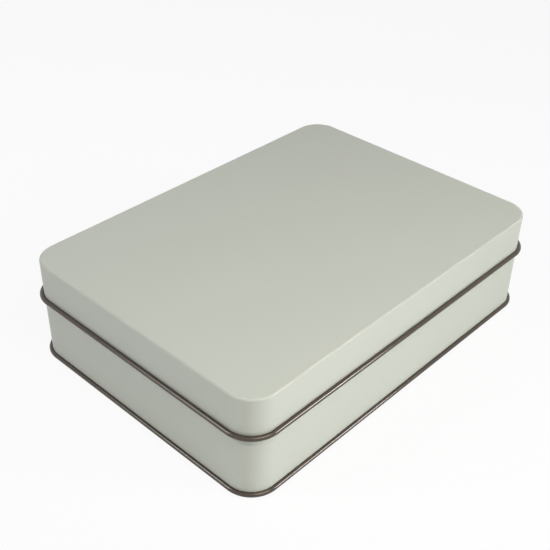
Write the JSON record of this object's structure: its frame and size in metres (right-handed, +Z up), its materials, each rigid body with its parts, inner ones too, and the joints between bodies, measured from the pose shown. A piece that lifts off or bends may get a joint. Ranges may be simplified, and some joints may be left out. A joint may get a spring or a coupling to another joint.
{
  "type": "hinged game tin",
  "caption": "Flat rectangular metal tin with rounded corners, a lid with a rolled rim, and wire-pin hinges along one long side.",
  "frame": {"origin": "middle of the tin on the table, at the underside of the rolled bottom seam", "axes": "+Z up, X along the long sides, the hinged back side at +Y, the front at -Y"},
  "size_m": [0.2042, 0.1488, 0.0532],
  "materials": {
    "outer_coat": "satin off-white coating on tinplate",
    "bare_sheet": "dark bronze lacquered tinplate, half gloss",
    "hinge_steel": "drawn and rolled steel, slightly dulled"
  },
  "bodies": {
    "tin_body": {"body_wall": "outer_coat", "bottom_panel": "bare_sheet", "hinge_strap_left": "hinge_steel", "hinge_strap_right": "hinge_steel"},
    "lid": {"lid_shell": "outer_coat", "lid_rim": "bare_sheet", "hinge_pin_left": "hinge_steel", "hinge_pin_right": "hinge_steel"}
  },
  "joints": [
    {"name": "lid_hinge", "type": "hinge", "parent": "tin_body", "child": "lid", "pos_m": [0, 0.07322, 0.0336], "axis": [-1, 0, 0], "range_deg": [0, 180]}
  ]
}
